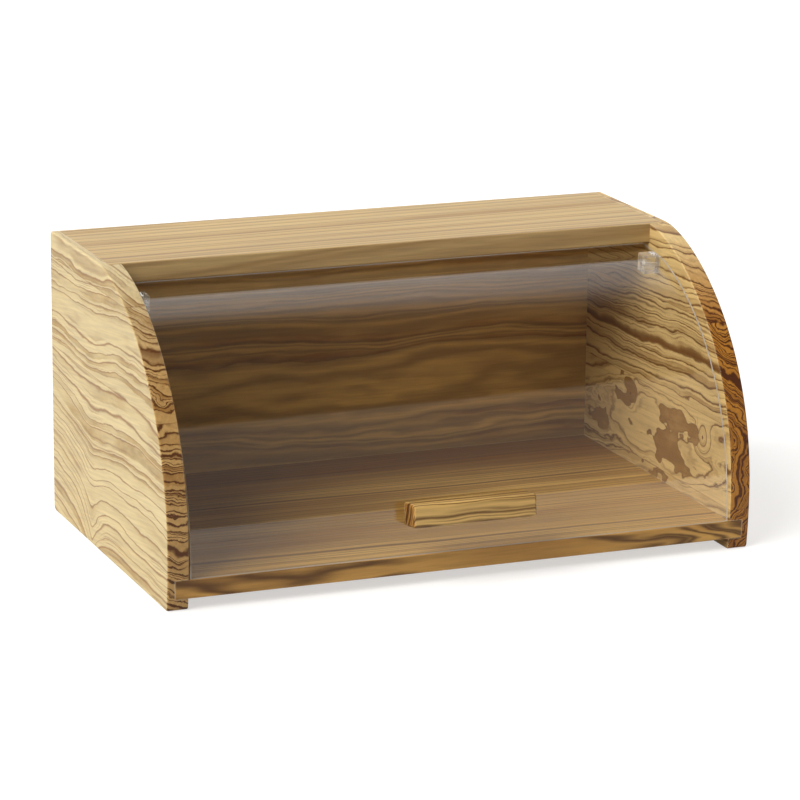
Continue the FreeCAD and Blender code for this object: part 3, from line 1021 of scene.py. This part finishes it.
class BREADBOX_OT_lid(bpy.types.Operator):
    """Cut the clear blank, bore it, bend it over the front and hang it on the lid"""

    bl_idname = "breadbox.lid"
    bl_label = "Clear Lid"

    def execute(self, context):
        sizes = context.scene.bread_box_lid
        line = BentLine(sizes, LID_HIGH.y, LID_LOW.y, LID_LOW.z, LID_HIGH.z)
        down = line.run_at_height(sizes.screw_height)
        holes = [(side * sizes.screw_spacing / 2, down) for side in (-1, 1)]
        bm = cut_blank(sizes, line, LID_HIGH.x, holes)
        for face in bm.faces:
            if abs(face.normal.z) < 0.5:
                face.material_index = CUT_EDGE
        bend_blank(bm, line)
        outline = [edge for edge in bm.edges if on_outline(edge, sizes, holes)]
        arris = {"offset": sizes.arris, "offset_type": "OFFSET", "segments": 2, "profile": 0.5}
        bmesh.ops.bevel(bm, geom=outline, affect="EDGES", material=-1, **arris)
        sheet = clear_acrylic("clear sheet", 0.0, 0.012, 1.0)
        edge = clear_acrylic("sawn cut edge", 0.4, 0.1, 0.6)
        lid = piece_from(bm, "clear_lid", [sheet, edge])
        lid.data.shade_smooth()
        lid.data.set_sharp_from_angle(angle=SHADE_FOLD)
        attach(lid, "lid")
        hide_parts("lid_sheet")
        return {"FINISHED"}


def on_outline(edge, sizes, holes):
    """True for a corner edge of the bent sheet's outline, and not for one round a screw hole."""
    if edge.calc_face_angle(0.0) <= CORNER_FOLD or edge.calc_length() <= SHORTEST_RIM:
        return False
    middle = (edge.verts[0].co + edge.verts[1].co) / 2
    level = abs(middle.z - sizes.screw_height) <= 2 * HOLE_REACH * sizes.hole_radius
    return not any(level and abs(middle.x - across) <= HOLE_REACH * sizes.hole_radius for across, _ in holes)


class BREADBOX_OT_hinges(bpy.types.Operator):
    """Give the clear hinge blocks and the steel pins their finishes"""

    bl_idname = "breadbox.hinges"
    bl_label = "Hinge Blocks and Pins"

    def execute(self, context):
        block = clear_acrylic("block acrylic", 0.0, 0.04, 0.9)
        pin = turned_steel("pin steel", 2500.0)
        for side in ("left", "right"):
            finish_node(f"hinge_block_{side}", block)
            finish_node(f"hinge_pin_{side}", pin)
        return {"FINISHED"}


class BREADBOX_OT_handle(bpy.types.Operator):
    """Give the handle bar its olive wood and its two screws their steel"""

    bl_idname = "breadbox.handle"
    bl_label = "Handle and Screws"

    def execute(self, context):
        finish_node("handle_bar", olive_wood("handle wood", HANDLE))
        screw = turned_steel("screw steel", 900.0)
        for side in ("left", "right"):
            finish_node(f"handle_screw_{side}", screw)
        return {"FINISHED"}


FLOOR_REACH, FLOOR_CELLS = 14.0, 12
FROM_FRONT_LEFT, FROM_ABOVE = (-0.72, -0.22, 0.66), (0.15, 0.35, 0.92)
WARM, NEUTRAL = (1.0, 0.985, 0.95), (1.0, 1.0, 1.0)

# The surroundings. A height is the upward part of a direction: 0 at the horizon, 1 overhead.
STUDIO_TINT = (1.0, 0.955, 0.90, 1.0)
BACKDROP_TOP, BACKDROP_LIGHT, BACKDROP_SHINE = (0.82, 0.925), 0.70, 0.18
WALL_TOP, WALL_LIGHT, WALL_SHINE = (0.695, 0.715), 0.26, 0.16
BEHIND = (-0.1, 0.25)  # backward part of a direction, where the wall ends and the backdrop is whole
CEILING_LIGHT = 0.06

AIM = Vector((0.00189, 0.006825, 0.087986))
SENSOR_WIDTH = 36.0
NEAREST, FARTHEST = 0.05, 60.0


class BREADBOX_OT_stage(bpy.types.Operator):
    """Lay the pale floor and set the studio light and the camera"""

    bl_idname = "breadbox.stage"
    bl_label = "Floor, Light and Camera"

    def execute(self, context):
        setting = context.scene.bread_box_stage
        self.lay_floor()
        self.hang_light("main light", setting.key, setting.key_softness, FROM_FRONT_LEFT, WARM)
        self.hang_light("top light", setting.top, setting.top_softness, FROM_ABOVE, NEUTRAL)
        self.paint_surroundings(context.scene)
        self.set_camera(context.scene, setting)
        context.scene.view_settings.view_transform = "Standard"
        return {"FINISHED"}

    def lay_floor(self):
        bm = bmesh.new()
        bmesh.ops.create_grid(bm, x_segments=FLOOR_CELLS, y_segments=FLOOR_CELLS, size=FLOOR_REACH)
        floor = piece_from(bm, "floor", [pale_floor("pale floor")])

    def hang_light(self, name, power, softness, towards, tint):
        lamp = bpy.data.lights.new(name, "SUN")
        lamp.energy = power
        lamp.angle = softness
        lamp.color = tint
        made = bpy.data.objects.new(name, lamp)
        made.rotation_euler = Vector(towards).to_track_quat("Z", "Y").to_euler()
        made.visible_glossy = False
        made.visible_transmission = False
        bpy.context.scene.collection.objects.link(made)

    def paint_surroundings(self, scene):
        """A bright backdrop behind the box, a dim ceiling and a soft wall in front."""
        scene.world = bpy.data.worlds.new("studio")
        scene.world.use_nodes = True
        tree = Tree(scene.world.node_tree)
        way = tree.add("SeparateXYZ", {0: tree.add("TexCoord").outputs["Generated"]}).outputs
        mirrored = tree.add("LightPath").outputs["Is Glossy Ray"]
        behind = tree.ease(way["Y"], *BEHIND)
        backdrop = tree.math("MULTIPLY_ADD", mirrored, BACKDROP_SHINE, BACKDROP_LIGHT)
        backdrop = tree.ease(way["Z"], *BACKDROP_TOP, backdrop, CEILING_LIGHT)
        wall = tree.math("MULTIPLY_ADD", mirrored, WALL_SHINE, WALL_LIGHT)
        wall = tree.ease(way["Z"], *WALL_TOP, wall, CEILING_LIGHT)
        in_front = tree.math("MULTIPLY", wall, tree.math("SUBTRACT", 1.0, behind))
        both = tree.math("MULTIPLY_ADD", backdrop, behind, in_front)
        light = tree.add("Background", {"Color": STUDIO_TINT, "Strength": both})
        tree.feed(tree.add("OutputWorld").inputs["Surface"], light.outputs[0])

    def set_camera(self, scene, setting):
        """Aims the camera at a point close to the middle of the box."""
        camera = bpy.data.cameras.new("camera")
        camera.lens = setting.focal_length
        camera.sensor_width = SENSOR_WIDTH
        camera.clip_start, camera.clip_end = NEAREST, FARTHEST
        facing = Euler((pi / 2 - setting.elevation, 0.0, setting.azimuth)).to_matrix()
        made = bpy.data.objects.new("camera", camera)
        made.location = AIM + facing @ Vector((0.0, 0.0, 1.0)) * setting.distance
        made.rotation_euler = (facing @ Matrix.Rotation(setting.roll, 3, "Z")).to_euler()
        scene.collection.objects.link(made)
        scene.camera = made


class BREADBOX_PT_panel(bpy.types.Panel):
    """Settings and steps of the bread box"""

    bl_idname = "BREADBOX_PT_panel"
    bl_label = "Bread Box"
    bl_space_type = "VIEW_3D"
    bl_region_type = "UI"
    bl_category = "Bread Box"

    def draw(self, context):
        for title, settings in (
            ("Lid", context.scene.bread_box_lid),
            ("Wood", context.scene.bread_box_wood),
            ("Acrylic and Steel", context.scene.bread_box_clear),
            ("Studio", context.scene.bread_box_stage),
        ):
            box = self.layout.box()
            box.label(text=title)
            for name in settings.__annotations__:
                box.prop(settings, name)
        for step in STEPS:
            self.layout.operator(step.bl_idname)


STEPS = (
    BREADBOX_OT_sides,
    BREADBOX_OT_boards,
    BREADBOX_OT_lid,
    BREADBOX_OT_hinges,
    BREADBOX_OT_handle,
    BREADBOX_OT_stage,
)
SETTINGS = {
    "bread_box_lid": LidSizes,
    "bread_box_wood": WoodColours,
    "bread_box_clear": ClearColours,
    "bread_box_stage": StageSetting,
}


def register():
    """Adds the settings, the operators and the panel."""
    for name, settings in SETTINGS.items():
        bpy.utils.register_class(settings)
        setattr(bpy.types.Scene, name, PointerProperty(type=settings))
    for step in STEPS:
        bpy.utils.register_class(step)
    bpy.utils.register_class(BREADBOX_PT_panel)


def unregister():
    """Takes the settings, the operators and the panel away."""
    bpy.utils.unregister_class(BREADBOX_PT_panel)
    for step in reversed(STEPS):
        bpy.utils.unregister_class(step)
    for name, settings in SETTINGS.items():
        delattr(bpy.types.Scene, name)
        bpy.utils.unregister_class(settings)


def main():
    """Makes the whole bread box and its studio."""
    register()
    bpy.ops.breadbox.sides()
    bpy.ops.breadbox.boards()
    bpy.ops.breadbox.lid()
    bpy.ops.breadbox.hinges()
    bpy.ops.breadbox.handle()
    bpy.ops.breadbox.stage()


if __name__ == "__main__":
    main()
